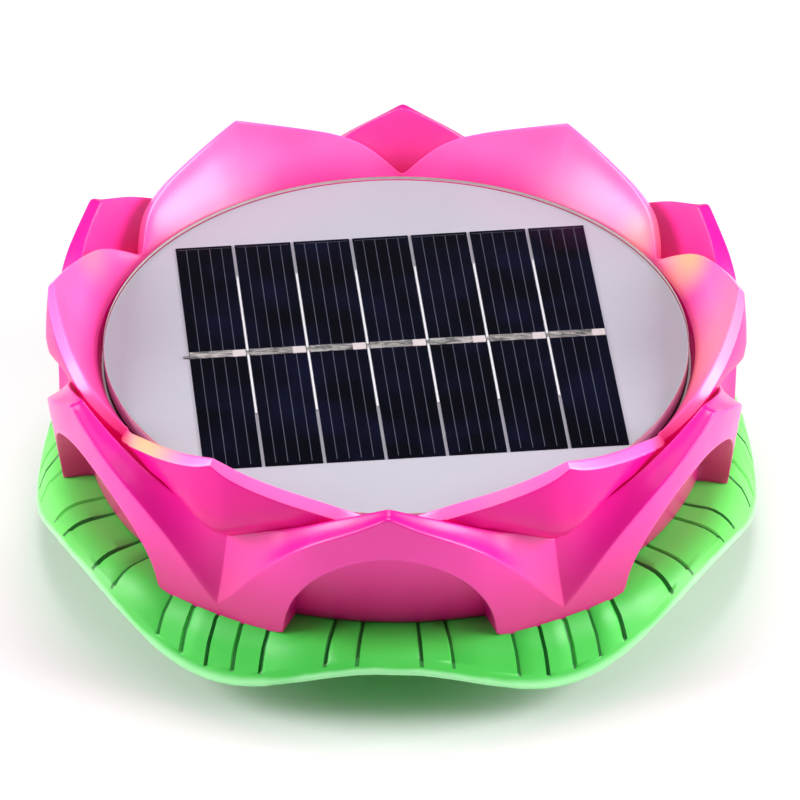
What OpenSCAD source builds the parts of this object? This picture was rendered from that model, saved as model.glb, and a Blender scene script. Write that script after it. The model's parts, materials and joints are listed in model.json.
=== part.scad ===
// Floating pool light in the form of a lotus flower: two rings of petals over a
// drooping green leaf, a round solar disc in the middle and a float hull below
// that holds the battery, the lamp board and a push switch.
// Millimetres. +Z is up, -Y is the front, and the origin is the middle of the
// foot ring's lower face. Angles round the flower start at the front.

/* [Solar disc] */
// Diameter of the round solar disc
disc_d = 120; // [110:1:122]
// Height of the disc's top face above the foot
disc_top = 45; // [44:0.5:46]
// Width of one solar cell strip
cell_w = 11.6; // [10:0.1:11.7]
// Length of a solar cell strip
cell_l = 78; // [60:0.1:80]
// Distance from one strip to the next
cell_pitch = 12.25; // [11.8:0.05:12.6]
// Turn of the block of strips on the disc
cell_turn = 6.7; // [-10:0.1:10]

/* [Flower] */
// Radius from the axis to an inner petal's tip
inner_tip_r = 69.3; // [68:0.1:70]
// Radius from the axis to an outer petal's tip
outer_tip_r = 73.9; // [73:0.1:75]
// Radius of the outer petals' foot on the leaf
petal_foot_r = 70.4; // [70:0.1:71]

/* [Leaf] */
// Radius of the leaf's rim
leaf_r = 74.3; // [73:0.1:76]
// Thickness of the leaf
leaf_t = 2; // [1.5:0.1:2.5]
// Mean height of the rim above the foot
rim_z = 12.5; // [11:0.1:14]
// Rise and fall of the wavy rim
rim_wave = 4.9; // [3:0.1:6]
// Depth of the vein grooves
groove_d = 0.5; // [0.3:0.1:0.7]

/* [Switch] */
// Travel of the push button
press = 1.2; // [0.8:0.1:1.2]
// Radius of the button's stem
stem_r = 3.2; // [2.8:0.1:3.4]

/* [Battery] */
// Radius of the rechargeable cell
cell_r = 7.1; // [6.9:0.1:7.2]

/* [Hidden] */
$fn = 72;
seat_z = 20;                 // top of the leaf's flat middle, where the petals stand
flange_z = 18;               // top of the hull's flange, under the leaf
board_z = 24;                // underside of the lamp board
panel_z = disc_top - 3.8;    // underside of the disc's backboard
disc_r = disc_d / 2;
screw_r = 51.8;              // circle of the six long screws
boss_r = 40;                 // circle of the four board posts
battery_y = 6;
switch_y = -24;

// ---- helpers ----

// Point at radius r, height z and angle a round the flower
function round_at(r, z, a) = [r * sin(a), -r * cos(a), z];

// Angle from the nearest line of a six-fold pattern, 0 to 30
function from_line(a, first) = let (m = (a - first + 3600) % 60) min(m, 60 - m);

// Point a share t of the way from p to q
function between(p, q, t) = p + (q - p) * t;

// A closed ring skinned through one outline for each angle
module ring(angles, outlines) {
  n = len(angles);
  m = len(outlines[0]);
  polyhedron(
    points = [for (i = [0:n - 1], p = outlines[i]) round_at(p[0], p[1], angles[i])],
    faces = [for (i = [0:n - 1], j = [0:m - 1], half = [0, 1])
      let (k = (i + 1) % n, l = (j + 1) % m)
      half == 0 ? [i * m + j, k * m + j, k * m + l] : [i * m + j, k * m + l, i * m + l]]);
}

// A round wire through a list of points
module wire(points, r) {
  for (i = [0:len(points) - 2]) {
    v = points[i + 1] - points[i];
    translate(points[i]) rotate([0, acos(v[2] / norm(v)), atan2(v[1], v[0])])
      cylinder(r = r, h = norm(v), $fn = 24);
    if (i > 0) translate(points[i]) sphere(r = r * 1.06, $fn = 24);
  }
}

// A coil of round wire standing on z = 0
module coil(r, height, turns, wire_r) {
  steps = round(turns * 14);
  sides = 6;
  polyhedron(
    points = [for (i = [0:steps], j = [0:sides - 1])
      let (a = 360 * turns * i / steps, b = 360 * j / sides, q = r + wire_r * cos(b))
      [q * cos(a), q * sin(a), wire_r + (height - 2 * wire_r) * i / steps + wire_r * sin(b)]],
    faces = concat(
      [for (i = [0:steps - 1], j = [0:sides - 1], half = [0, 1])
        let (l = (j + 1) % sides, s = i * sides, e = s + sides)
        half == 0 ? [s + j, s + l, e + l] : [s + j, e + l, e + j]],
      [[for (j = [sides - 1:-1:0]) j]],
      [[for (j = [0:sides - 1]) steps * sides + j]]));
}

module six(first = 0) for (i = [0:5]) rotate(first + 60 * i) children();
module posts() for (a = [45:90:315]) rotate(a) translate([boss_r, 0, 0]) children();
module door_corners() for (x = [-32.4, 32.4], y = [-9.6, 9.6])
  translate([x, battery_y + y, 0]) children();
module at_switch() translate([0, switch_y, 0]) children();

// A screw with a flat round head; its shank starts at z = 0 and runs up
module screw(head_r, head_h, shank_r, length) {
  translate([0, 0, -head_h]) difference() {
    cylinder(r = head_r, h = head_h);
    translate([0, 0, -1]) cylinder(r = head_r * 0.45, h = 1 + head_h * 0.45, $fn = 6);
  }
  translate([0, 0, -0.1]) cylinder(r = shank_r, h = length + 0.1);
}

// ---- leaf ----

vein_angles = [5, 10, 20.5, 25.3, 30, 34.7, 39.5, 50, 55];
leaf_angles = [for (s = [0:60:300]) each [
  s, for (g = vein_angles) each [
    s + g - 0.55, s + g - 0.25, s + g + 0.25, s + g + 0.55,
    each (g == 10 || g == 39.5) ? [s + g + 3, s + g + 6] : g == 55 ? [] : [s + g + 2.3]]]];

// Top of the leaf: flat under the petals, then drooping to the rim
function droop(a) = seat_z - rim_z - rim_wave * cos(6 * a);
function leaf_z(r, a) = r < 66.5 ? seat_z
  : seat_z - droop(a) * pow((r - 66.5) / (leaf_r - 66.5), 2.8);
function leaf_slope(r, a) = r < 66.5 ? 0
  : -droop(a) * 2.8 / (leaf_r - 66.5) * pow((r - 66.5) / (leaf_r - 66.5), 1.8);
// Point a depth d under the leaf's top, square to its surface
function under_leaf(r, a, d) = let (s = leaf_slope(r, a), n = sqrt(1 + s * s))
  [r + d * s / n, leaf_z(r, a) - d / n];
function in_vein(a) = min([for (g = vein_angles) abs(a % 60 - g)]) < 0.3;
function leaf_outline(a) = let (g = in_vein(a) ? groove_d : 0,
    s = leaf_slope(leaf_r, a), n = sqrt(1 + s * s))
  [for (r = [46, 66.5, 70, 72.4, leaf_r]) under_leaf(r, a, leaf_t),
   under_leaf(leaf_r, a, leaf_t / 2) + [1, s] * leaf_t * 0.4 / n,
   under_leaf(leaf_r, a, 0),
   under_leaf(73.4, a, 0),
   for (r = [72.8, 71.4, 69.4, 66.5, 62]) under_leaf(r, a, g),
   under_leaf(46, a, 0)];

module leaf_base() color([0.25, 0.72, 0.3]) difference() {
  ring(leaf_angles, [for (a = leaf_angles) leaf_outline(a)]);
  six(30) translate([0, -screw_r, 0]) translate([0, 0, seat_z - leaf_t - 1]) cylinder(r = 1.7, h = leaf_t + 2);
}

// ---- outer petals: tips in line with the front, notches between them ----

outer_half = [0, 3, 6, 9, 11.5, 13.5, 15, 16.2, 17, 17.6, 19, 21, 24, 27];
outer_angles = [for (s = [0:60:300]) each [
  for (p = outer_half) s + p, s + 30,
  for (i = [len(outer_half) - 1:-1:1]) s + 60 - outer_half[i]]];

// Inner and outer edge of a petal's broad rim, by angle from its tip
function outer_in_r(p) = lookup(p, [[0, outer_tip_r - 2.9], [8, 69.8], [13, 68.5], [18, 66.9], [23, 65.9], [30, 64.7]]);
function outer_in_z(p) = lookup(p, [[0, 54.5], [4, 52.7], [8, 50.5], [13, 47.2], [18, 43.9], [23, 41.1], [30, 36.6]]);
function outer_out_r(p) = lookup(p, [[0, outer_tip_r], [8, 73.5], [13, 73], [18, 71.7], [23, 70.2], [30, 69]]);
function outer_out_z(p) = lookup(p, [[0, 54], [4, 50.8], [8, 48.5], [13, 44.8], [18, 39.3], [23, 32.3], [27, 26], [30, 22.2]]);
// The petal's outer face, from its foot up to the rim
function outer_face(p, z) = let (zt = outer_out_z(p))
  [petal_foot_r + (outer_out_r(p) - petal_foot_r) * (z - seat_z) / (zt - seat_z), z];
// Edge and back wall of the arched niche in the petal's outer face
function niche_z(p) = seat_z + 1.4 + 21.7 * pow(max(0, 1 - pow(p / 17.6, 2)), 0.62);
function niche_wall(p, z) = p < 17.3
  ? [62.9 + 0.1 * (z - seat_z) + 0.0072 * pow(z - seat_z, 2), z] : outer_face(p, z);
function outer_outline(a) = let (p = from_line(a, 0), zn = niche_z(p),
    rim_in = [outer_in_r(p), outer_in_z(p)], rim_out = [outer_out_r(p), outer_out_z(p)],
    neck = [64.65, 35.9], foot_z = seat_z - lookup(p, [[17.6, 0], [21, 0.9]]))
  [[60.8, seat_z], [60.9 + 1.9 * (p < 17.3 ? 0 : 3), seat_z], niche_wall(p, foot_z), niche_wall(p, between(foot_z, zn - 0.5, 0.5)),
   niche_wall(p, zn - 0.5), outer_face(p, zn),
   between(outer_face(p, zn), rim_out, 0.55), rim_out,
   between(rim_out, rim_in, 0.5), rim_in,
   between(neck, rim_in, 0.55) + [0.8, -0.6] * (rim_in[1] - 36.6) / 18, neck, [61.2, 30]];

module outer_petal_ring() color([0.93, 0.12, 0.55])
  ring(outer_angles, [for (a = outer_angles) outer_outline(a)]);

// ---- inner petals: tips half a petal round from the outer ones ----

inner_half = [0, 3, 6, 9, 12, 15, 18, 20.5, 23, 25, 27, 28.4, 29.4];
inner_angles = [for (s = [0:60:300]) each [
  for (p = inner_half) s + p, s + 30,
  for (i = [len(inner_half) - 1:-1:1]) s + 60 - inner_half[i]]];

function inner_rim_r(p) = lookup(p, [[0, inner_tip_r], [6, 68.3], [12, 67.3], [18, 66.5], [23, 65.6], [27, 63.2], [30, 61.3]]);
function inner_rim_z(p) = lookup(p, [[0, 58.4], [6, 55.9], [12, 53.8], [18, 51.9], [23, 49.3], [27, 46.4], [30, 44.4]]);
function inner_outline(a) = let (p = from_line(a, 30),
    bevel = lookup(p, [[0, 1.2], [3, 1.8], [18, 1.9], [27, 1.7], [30, 1.4]]),
    rim = [inner_rim_r(p), inner_rim_z(p)], rim_out = rim + [bevel, -bevel],
    neck = [lookup(p, [[0, 64.15], [15, 64.1], [30, 63.2]]), 35.8],
    lip = [disc_r + 1.2, disc_top - 1.4], rise = (rim[1] - 44) / 14,
    // stays clear of the outer petals' inner edge, then swells out over it
    clear = between(between(neck, rim_out, 0.42) + [-0.6, 0.3] * rise,
      [outer_in_r(30 - p) - 0.45, outer_in_z(30 - p) + 0.1], lookup(p, [[12, 1], [15, 0]])))
  [[58.3, seat_z], [60.3, seat_z], [60.6, 30.3], neck,
   clear,
   between(clear, rim_out, 0.2) + [0.8, -0.1] * lookup(p, [[0, 4.2], [6, 1.6], [12, 0.4], [18, 0]]),
   between(clear, rim_out, 0.5) + [0.8, -0.3] * lookup(p, [[0, 4], [6, 2.6], [12, 1], [18, 0.2], [24, 0]]),
   rim_out, rim,
   between(lip, rim, 0.66) + [0.7, -0.5] * rise, between(lip, rim, 0.33) + [0.7, -0.5] * rise,
   lip, [disc_r + 0.5, panel_z + 1.6], [disc_r + 0.5, panel_z - 2],
   [56, panel_z - 2], [56, panel_z - 3.6], [58.3, panel_z - 5.2]];

module inner_petal_ring() color([0.98, 0.2, 0.65])
  ring([for (a = inner_angles) a + 30], [for (a = inner_angles) inner_outline(a + 30)]);

// Frame that clamps the inner petals down and carries the disc
module panel_frame() color([0.9, 0.9, 0.92]) difference() {
  union() {
    rotate_extrude($fn = 120) polygon([[53.3, seat_z], [55.7, seat_z], [55.7, panel_z - 2],
      [60, panel_z - 2], [60, panel_z - 1], [53.3, panel_z - 1]]);
    six(30) translate([0, -screw_r, seat_z]) cylinder(r = 3.3, h = 14);
  }
  six(30) translate([0, -screw_r, seat_z - 1]) cylinder(r = 1.5, h = 13.5);
}

// ---- float hull and what it carries ----

module float_hull() color([0.2, 0.6, 0.28]) difference() {
  union() {
    rotate_extrude($fn = 120) polygon([[0, 3], [40.6, 3], [40.6, 0.5], [41.1, 0],
      [44.3, 0], [44.8, 0.5], [47.2, 13], [47.2, 15], [55.5, 15], [55.5, flange_z],
      [45.2, flange_z], [45.2, 13], [43.2, 5], [0, 5]]);
    // battery box
    translate([-29.6, battery_y - 9.2, 4]) cube([59.2, 18.4, 18.6]);
    // switch well
    at_switch() translate([0, 0, 3.5]) cylinder(r = 10.6, h = 4.5);
    // board posts and door screw bosses
    posts() translate([0, 0, 4]) cylinder(r = 3, h = board_z - 4);
    door_corners() translate([0, 0, 4]) cylinder(r = 2.7, h = 6);
  }
  translate([-28, battery_y - 7.6, 2]) cube([56, 15.2, 19]);
  for (x = [-27.4, 27.4]) translate([x, battery_y, 20]) cylinder(r = 1, h = 4, $fn = 36);
  at_switch() translate([0, 0, 2]) cylinder(r = 9, h = 4);
  at_switch() translate([0, 0, 5]) cylinder(r = 3.8, h = 4);
  posts() translate([0, 0, board_z - 11]) cylinder(r = 1.4, h = 12);
  door_corners() translate([0, 0, 2]) cylinder(r = 1.2, h = 6.5);
  six(30) translate([0, -screw_r, 14]) cylinder(r = 1.7, h = 5);
  // groove for the gasket under the leaf
  translate([0, 0, flange_z - 1.2]) difference() {
    cylinder(r = 48.2, h = 2, $fn = 120);
    translate([0, 0, -1]) cylinder(r = 46.6, h = 4, $fn = 120);
  }
}

module hull_gasket() color([0.15, 0.15, 0.16]) translate([0, 0, flange_z - 1.2])
  difference() {
    cylinder(r = 48.15, h = 1.2, $fn = 120);
    translate([0, 0, -1]) cylinder(r = 46.65, h = 4, $fn = 120);
  }

module hull_screws() color([0.72, 0.72, 0.74])
  six(30) translate([0, -screw_r, 15]) screw(2.7, 1.9, 1.5, 16);

module battery_door() color([0.22, 0.62, 0.3]) difference() {
  union() {
    translate([-35.4, battery_y - 12.6, 1.2]) cube([70.8, 25.2, 1.8]);
    translate([-27.7, battery_y - 7.3, 2.5]) cube([55.4, 14.6, 2.5]);
  }
  // groove for the door's gasket
  translate([0, battery_y, 2]) difference() {
    translate([-30.3, -10.2, 0]) cube([60.6, 20.4, 2]);
    translate([-28.9, -8.8, -1]) cube([57.8, 17.6, 4]);
  }
  door_corners() translate([0, 0, 0]) cylinder(r = 1.4, h = 4);
}

module door_gasket() color([0.15, 0.15, 0.16]) translate([0, battery_y, 2])
  difference() {
    translate([-30.25, -10.15, 0]) cube([60.5, 20.3, 1]);
    translate([-28.95, -8.85, -1]) cube([57.9, 17.7, 3]);
  }

module door_screws() color([0.72, 0.72, 0.74])
  door_corners() translate([0, 0, 1.2]) screw(2.4, 1, 1.2, 6.5);

// ---- battery ----

module battery_cell() color([0.1, 0.45, 0.3]) translate([0, battery_y, 5 + cell_r])
  rotate([0, 90, 0]) {
    translate([0, 0, -24.8]) cylinder(r = cell_r, h = 48.5);
    translate([0, 0, 23]) cylinder(r = 2.7, h = 2);
  }

module battery_contact_pos() color([0.8, 0.76, 0.6]) {
  translate([27.3, battery_y - 5, 7]) cube([0.6, 10, 12]);
  translate([25, battery_y, 5 + cell_r]) rotate([0, 90, 0]) cylinder(r = 2.5, h = 2.6);
}

module battery_contact_neg() color([0.8, 0.76, 0.6]) {
  translate([-27.9, battery_y - 5, 7]) cube([0.6, 10, 12]);
  translate([-27.5, battery_y, 5 + cell_r]) rotate([0, 90, 0]) coil(3.6, 2.7, 2, 0.4);
}

// ---- push switch ----

module switch_body() color([0.12, 0.12, 0.13]) at_switch() difference() {
  translate([-6.5, -6.5, 8]) cube([13, 13, 9.6]);
  translate([0, 0, 7]) cylinder(r = stem_r + 1.05, h = 4.2);
  translate([0, 0, 10]) cylinder(r = stem_r + 0.05, h = 6);
}

module switch_terminals() color([0.82, 0.7, 0.35]) at_switch()
  for (x = [-3, 3]) translate([x, 0, 17.6]) cylinder(r = 0.6, h = 2.4, $fn = 24);

module switch_button() color([0.9, 0.9, 0.9]) at_switch() {
  translate([0, 0, 2.4]) cylinder(r = stem_r, h = 10.1);
  translate([0, 0, 8.05]) cylinder(r = stem_r + 1, h = 1.85);
}

module return_spring() color([0.75, 0.75, 0.78]) at_switch()
  translate([0, 0, 12.5]) coil(2.3, 3.5, 3, 0.35);

module switch_boot() color([0.1, 0.1, 0.11]) at_switch()
  rotate_extrude() polygon([[0, 1.6], [3.6, 1.6], [4.6, 2.4], [5, 5.2], [8.6, 5.2], [8.6, 6],
    [4.2, 6], [3.9, 2.9], [3.4, 2.4], [0, 2.4]]);

// ---- lamp board ----

module control_board() color([0.1, 0.4, 0.25]) difference() {
  translate([0, 0, board_z]) cylinder(r = 47.5, h = 1.6, $fn = 120);
  posts() translate([0, 0, board_z - 1]) cylinder(r = 1.6, h = 4);
}

module board_screws() color([0.72, 0.72, 0.74])
  posts() translate([0, 0, board_z + 1.6]) mirror([0, 0, 1]) screw(2.6, 1.8, 1.4, 11);

module leds() color([0.95, 0.9, 0.75]) six() translate([0, -40, board_z + 1.6]) {
  cylinder(r = 2.9, h = 1);
  cylinder(r = 2.5, h = 4);
  translate([0, 0, 4]) sphere(r = 2.5);
}

module driver_chip() color([0.08, 0.08, 0.09])
  translate([9, -14, board_z + 1.6]) cube([5, 4, 1.6]);

module inductor() color([0.2, 0.2, 0.21])
  translate([-12, -12, board_z + 1.6]) cylinder(r = 4, h = 4.5);

// ---- solar disc ----

module at_cells() translate([0.4, -0.95, 0]) rotate(cell_turn) children();
module solar_cell(i) color([0.02, 0.02, 0.08]) at_cells()
  translate([(i - 4) * cell_pitch - cell_w / 2, -cell_l / 2, disc_top - 1])
    cube([cell_w, cell_l, 0.3]);

module panel_backboard() color([0.93, 0.93, 0.95])
  translate([0, 0, panel_z]) cylinder(r = disc_r, h = 2.8, $fn = 144);

module cell_ribbons() color([0.7, 0.7, 0.72]) at_cells()
  for (i = [1:7]) translate([(i - 4) * cell_pitch - cell_w / 2 + 0.2, -1.1, disc_top - 0.7])
    cube([cell_w - 0.2, 2.2, 0.2]);

module panel_cover() color([0.9, 0.92, 0.97, 0.3]) difference() {
  translate([0, 0, disc_top - 1]) cylinder(r = disc_r, h = 1, $fn = 144);
  at_cells() translate([-3.5 * cell_pitch, -cell_l / 2 - 0.2, disc_top - 2])
    cube([7 * cell_pitch, cell_l + 0.4, 1.55]);
}

module panel_gasket() color([0.15, 0.15, 0.16]) translate([0, 0, panel_z - 1])
  difference() {
    cylinder(r = 59.6, h = 1, $fn = 120);
    translate([0, 0, -1]) cylinder(r = 56.4, h = 3, $fn = 120);
  }

// ---- leads inside the body ----

module panel_lead_red() color([0.8, 0.08, 0.08])
  wire([[5, 12, panel_z], [5, 12, panel_z - 2], [5, 14, 35], [12, 26, 31],
    [8, 30, board_z + 4], [8, 30, board_z + 1.6]], 0.7);
module panel_lead_black() color([0.05, 0.05, 0.05])
  wire([[-5, 12, panel_z], [-5, 12, panel_z - 2], [-5, 14, 36], [-12, 25, 31.5],
    [-8, 30, board_z + 4], [-8, 30, board_z + 1.6]], 0.7);
module battery_lead_red() color([0.8, 0.08, 0.08])
  wire([[27.4, battery_y, 19], [27.4, battery_y, board_z]], 0.5);
module battery_lead_black() color([0.05, 0.05, 0.05])
  wire([[-27.4, battery_y, 19], [-27.4, battery_y, board_z]], 0.5);
module switch_lead(side)
  wire([[3 * side, switch_y, 20.38], [4.4 * side, switch_y - 2, 22.2], [7 * side, switch_y - 3, 23.57]], 0.5);
module switch_lead_left() color([0.85, 0.75, 0.1]) switch_lead(-1);
module switch_lead_right() color([0.9, 0.9, 0.9]) switch_lead(1);

// ---- output ----

leaf_base();
outer_petal_ring();
inner_petal_ring();
panel_frame();
float_hull();
hull_gasket();
hull_screws();
battery_door();
door_gasket();
door_screws();
battery_cell();
battery_contact_pos();
battery_contact_neg();
switch_body();
switch_terminals();
switch_button();
return_spring();
switch_boot();
control_board();
board_screws();
leds();
driver_chip();
inductor();
panel_backboard();
solar_cell(1);  // solar_cell_1
solar_cell(2);  // solar_cell_2
solar_cell(3);  // solar_cell_3
solar_cell(4);  // solar_cell_4
solar_cell(5);  // solar_cell_5
solar_cell(6);  // solar_cell_6
solar_cell(7);  // solar_cell_7
cell_ribbons();
panel_cover();
panel_gasket();
panel_lead_red();
panel_lead_black();
battery_lead_red();
battery_lead_black();
switch_lead_left();
switch_lead_right();
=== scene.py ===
# %% [markdown]
# # A floating lotus light
# This lesson builds the looks of a solar pool light: a round solar disc inside two rings of
# moulded petals, on a drooping leaf with a float hull under it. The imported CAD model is
# loaded first and stays where it is. It gives every size and place, and each visible skin
# that needs softer shapes than the CAD holds is modelled again around it.

# %% Load the frame
import json
import math

import bpy
import numpy as np
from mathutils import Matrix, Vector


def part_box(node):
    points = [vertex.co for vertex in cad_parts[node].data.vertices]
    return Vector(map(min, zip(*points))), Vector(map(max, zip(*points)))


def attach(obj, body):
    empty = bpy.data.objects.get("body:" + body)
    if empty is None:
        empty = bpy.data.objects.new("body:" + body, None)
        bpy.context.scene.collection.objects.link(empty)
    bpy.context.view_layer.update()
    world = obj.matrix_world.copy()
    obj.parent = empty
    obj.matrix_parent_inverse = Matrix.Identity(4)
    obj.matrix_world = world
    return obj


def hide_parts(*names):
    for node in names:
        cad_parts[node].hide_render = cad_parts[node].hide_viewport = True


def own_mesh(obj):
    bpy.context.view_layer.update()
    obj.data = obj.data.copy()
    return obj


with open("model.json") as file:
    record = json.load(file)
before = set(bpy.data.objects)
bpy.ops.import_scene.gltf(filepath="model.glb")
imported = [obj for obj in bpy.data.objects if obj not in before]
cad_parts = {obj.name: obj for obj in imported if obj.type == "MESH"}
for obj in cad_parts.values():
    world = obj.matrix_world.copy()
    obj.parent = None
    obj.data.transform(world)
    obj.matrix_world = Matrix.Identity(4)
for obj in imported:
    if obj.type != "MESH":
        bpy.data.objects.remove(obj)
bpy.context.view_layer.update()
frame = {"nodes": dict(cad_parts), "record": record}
MM = 0.001

# %% [markdown]
# The driving sizes are measured from a few nodes of the frame. The disc's cover gives the top of the
# disc and its radius, the petal ring gives where the petals stand on the leaf's flat middle, and the
# backboard and a cell give the board's and the cells' heights. Inside the functions below lengths are in
# millimetres, because a maker thinks of a 2 mm wall, and they turn into metres where a mesh is written.

# %% Driving sizes
def node_box(name):
    """Lowest and highest corner of a CAD node, in millimetres."""
    low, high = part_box(name)
    return np.array(low) / MM, np.array(high) / MM


cover_low, cover_high = node_box("panel_cover")
DISC_TOP = cover_high[2]
DISC_R = (cover_high[0] - cover_low[0]) / 2
SEAT = node_box("outer_petal_ring")[0][2] + 0.9     # where the petals stand on the leaf
BOARD_TOP = node_box("panel_backboard")[1][2]
BOARD_LOW = node_box("panel_backboard")[0][2]
CELL_TOP = node_box("solar_cell_4")[1][2]
print(f"disc {2 * DISC_R:.1f} mm across, top at {DISC_TOP:.1f} mm, petals stand at {SEAT:.1f} mm")

# %% [markdown]
# The camera stands 1.5 m away with a long lens, a little above the flower, and looks at the
# middle of the object. A long lens keeps the ellipse of the disc nearly true.

# %% Camera
def aim(thing, target):
    """Turn an object so that its -Z axis points at the target."""
    from mathutils import Vector
    way = Vector(target) - thing.location
    thing.rotation_euler = way.to_track_quat("-Z", "Y").to_euler()


def stand_at(target, azimuth, elevation, distance):
    """A place seen from the target at an azimuth from the front and an elevation, in degrees."""
    a, e = math.radians(azimuth), math.radians(elevation)
    return (target[0] + distance * math.sin(a) * math.cos(e),
            target[1] - distance * math.cos(a) * math.cos(e),
            target[2] + distance * math.sin(e))


LOOK_AT = (0, 0, 0.0297)
AZIMUTH, ELEVATION, DISTANCE, ROLL = 1.26, 35.58, 1.4810, -0.22
lens_data = bpy.data.cameras.new("camera")
lens_data.lens, lens_data.sensor_width, lens_data.shift_x = 325.6, 36, 0.0045
camera = bpy.data.objects.new("camera", lens_data)
bpy.context.scene.collection.objects.link(camera)
camera.location = stand_at(LOOK_AT, AZIMUTH, ELEVATION, DISTANCE)
aim(camera, LOOK_AT)
camera.rotation_euler.rotate_axis("Z", math.radians(ROLL))
bpy.context.scene.camera = camera
print("camera at", tuple(round(v, 3) for v in camera.location))

# %% [markdown]
# The light is that of a small product tent: a broad soft box overhead, one on each side, and
# a weak one in front, over a white floor. The side boxes make the petals' slanted rims shine.

# %% Floor and lights
def deselect():
    """Nothing selected, so the next operator acts only on what it is told to."""
    if bpy.context.mode != "OBJECT":
        bpy.ops.object.mode_set(mode="OBJECT")
    bpy.ops.object.select_all(action="DESELECT")


def soft_box(name, azimuth, elevation, distance, size, power):
    """A square area light aimed at the object."""
    data = bpy.data.lights.new(name, "AREA")
    data.size, data.energy = size, power
    lamp = bpy.data.objects.new(name, data)
    bpy.context.scene.collection.objects.link(lamp)
    lamp.location = stand_at(LOOK_AT, azimuth, elevation, distance)
    aim(lamp, LOOK_AT)


deselect()
bpy.ops.mesh.primitive_plane_add(size=6, location=(0, 0, 0))
floor = bpy.context.active_object
floor.name = "floor"
floor.location.z = -0.0002       # just clear of the foot ring that stands on it

soft_box("back_box", 180, 74, 0.9, 0.45, 3.4)
soft_box("left_box", -82, 25, 0.8, 0.45, 6.2)
soft_box("right_box", 82, 25, 0.8, 0.45, 7.4)
soft_box("front_box", 0, 68, 1.1, 0.5, 1.0)
world = bpy.data.worlds.new("tent")
bpy.context.scene.world = world
world.use_nodes = True
world.node_tree.nodes["Background"].inputs["Color"].default_value = (1, 1, 1, 1)
world.node_tree.nodes["Background"].inputs["Strength"].default_value = 0.14
bpy.context.scene.view_settings.view_transform = "Standard"

# %% [markdown]
# Shader sums are written as Python. A `Sock` wraps one output of a node, so `1 - mask * 0.5`
# adds its own Math nodes, and `Sock.node` makes any other node: its settings are set first,
# and then its sockets get values or links.

# %% Shader helper
class Sock:
    """One output of a shader node, on which sums can be written."""

    def __init__(self, tree, out):
        self.tree, self.out = tree, out

    def node(self, kind, settings=None, sockets=None, out=0):
        """A new node of this tree, as the Sock of its output `out`."""
        made = self.tree.nodes.new(kind)
        for key, value in (settings or {}).items():
            if key == "stops":
                ramp = made.color_ramp
                while len(ramp.elements) < len(value):
                    ramp.elements.new(0.5)
                for stop, (place, colour) in zip(ramp.elements, value):
                    stop.position, stop.color = place, (*colour[:3], 1)
            else:
                setattr(made, key, value)
        for key, value in (sockets or {}).items():
            if isinstance(value, Sock):
                self.tree.links.new(value.out, made.inputs[key])
            else:
                made.inputs[key].default_value = value
        return Sock(self.tree, made.outputs[out])

    def math(self, operation, a, b=0.0, clamp=False):
        return self.node("ShaderNodeMath", {"operation": operation, "use_clamp": clamp}, {0: a, 1: b})

    def __add__(self, other): return self.math("ADD", self, other)
    def __radd__(self, other): return self.math("ADD", other, self)
    def __sub__(self, other): return self.math("SUBTRACT", self, other)
    def __rsub__(self, other): return self.math("SUBTRACT", other, self)
    def __mul__(self, other): return self.math("MULTIPLY", self, other)
    def __rmul__(self, other): return self.math("MULTIPLY", other, self)
    def __truediv__(self, other): return self.math("DIVIDE", self, other)

    def clamped(self):
        return self.math("ADD", self, 0.0, clamp=True)

    def ramp(self, low, high):
        """0 below low, 1 above high, smooth between."""
        return self.node("ShaderNodeMapRange", {"interpolation_type": "SMOOTHSTEP"},
                         {"Value": self, "From Min": low, "From Max": high})

    def blend(self, other, share):
        """This colour mixed with another by a share."""
        return self.node("ShaderNodeMix", {"data_type": "RGBA"},
                         {"Factor": share, 6: self, 7: other}, out=2)


def srgb(r, g, b):
    """A colour as seen on a screen, 0 to 255, in the linear values that shaders use."""
    def linear(v):
        v /= 255
        return v / 12.92 if v <= 0.04045 else ((v + 0.055) / 1.055) ** 2.4
    return (linear(r), linear(g), linear(b), 1)


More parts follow.
